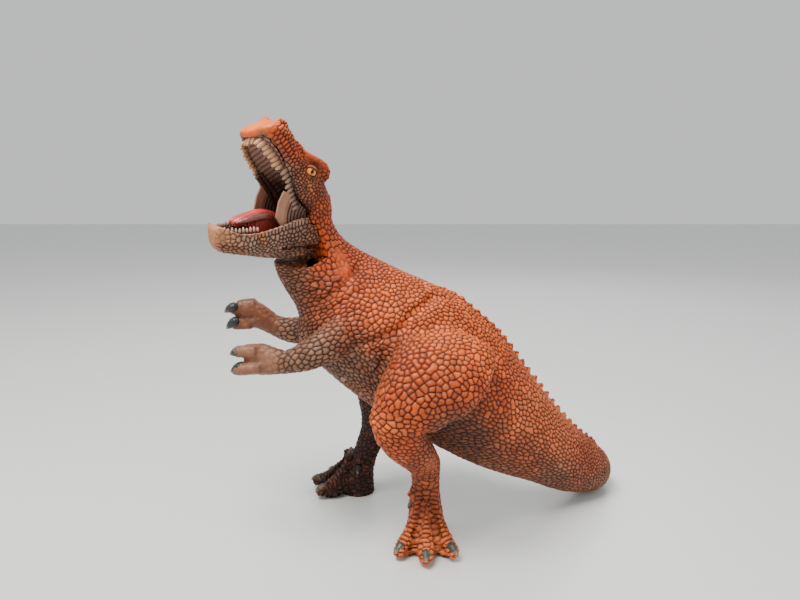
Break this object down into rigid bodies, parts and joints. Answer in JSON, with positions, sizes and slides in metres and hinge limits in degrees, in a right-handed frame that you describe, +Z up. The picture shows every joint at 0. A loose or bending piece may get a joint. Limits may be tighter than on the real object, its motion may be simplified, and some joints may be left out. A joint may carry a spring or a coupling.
{
  "type": "toy dinosaur figure",
  "caption": "Standing two-legged toy dinosaur in soft orange plastic, with scaly skin, a thick tail resting on the ground, and a lower jaw that opens and shuts.",
  "frame": {"origin": "centre of the figure's outline seen from above, on the floor that its feet and tail rest on", "axes": "+Z up, -X the way the figure faces, -Y its left side"},
  "size_m": [0.2382, 0.1478, 0.2244],
  "materials": {
    "orange_skin": "painted soft plastic, orange with dark red-brown grooves",
    "grey_skin": "painted soft plastic, pinkish grey with dark grooves",
    "mouth_skin": "painted soft plastic, grey-brown",
    "throat": "painted soft plastic, near black",
    "tongue": "glossy red paint",
    "tooth": "cream, slightly glossy",
    "claw": "dark green-grey, worn pale at the tips",
    "eye": "glossy yellow with a black pupil",
    "pin": "plain steel"
  },
  "bodies": {
    "figure": {"body_shell": "orange_skin", "tail_shell": "orange_skin", "head_shell": "orange_skin", "left_leg": "orange_skin", "right_leg": "orange_skin", "left_arm": "grey_skin", "right_arm": "grey_skin", "jaw_pin": "pin", "palate": "mouth_skin", "throat_cup": "throat", "upper_teeth": "tooth", "left_cheek_web": "mouth_skin", "right_cheek_web": "mouth_skin", "left_eye": "eye", "right_eye": "eye", "left_toe_claw_1": "claw", "left_toe_claw_2": "claw", "left_toe_claw_3": "claw", "left_dewclaw": "claw", "right_toe_claw_1": "claw", "right_toe_claw_2": "claw", "right_toe_claw_3": "claw", "right_dewclaw": "claw", "left_finger_claw_1": "claw", "left_finger_claw_2": "claw", "right_finger_claw_1": "claw", "right_finger_claw_2": "claw"},
    "jaw": {"lower_jaw": "grey_skin", "lower_teeth": "tooth", "tongue": "tongue"}
  },
  "joints": [
    {"name": "jaw_hinge", "type": "hinge", "parent": "figure", "child": "jaw", "pos_m": [-0.06836, -0.02698, 0.177], "axis": [-0.6754, 0.7242, 0.1392], "range_deg": [0, 36]}
  ]
}
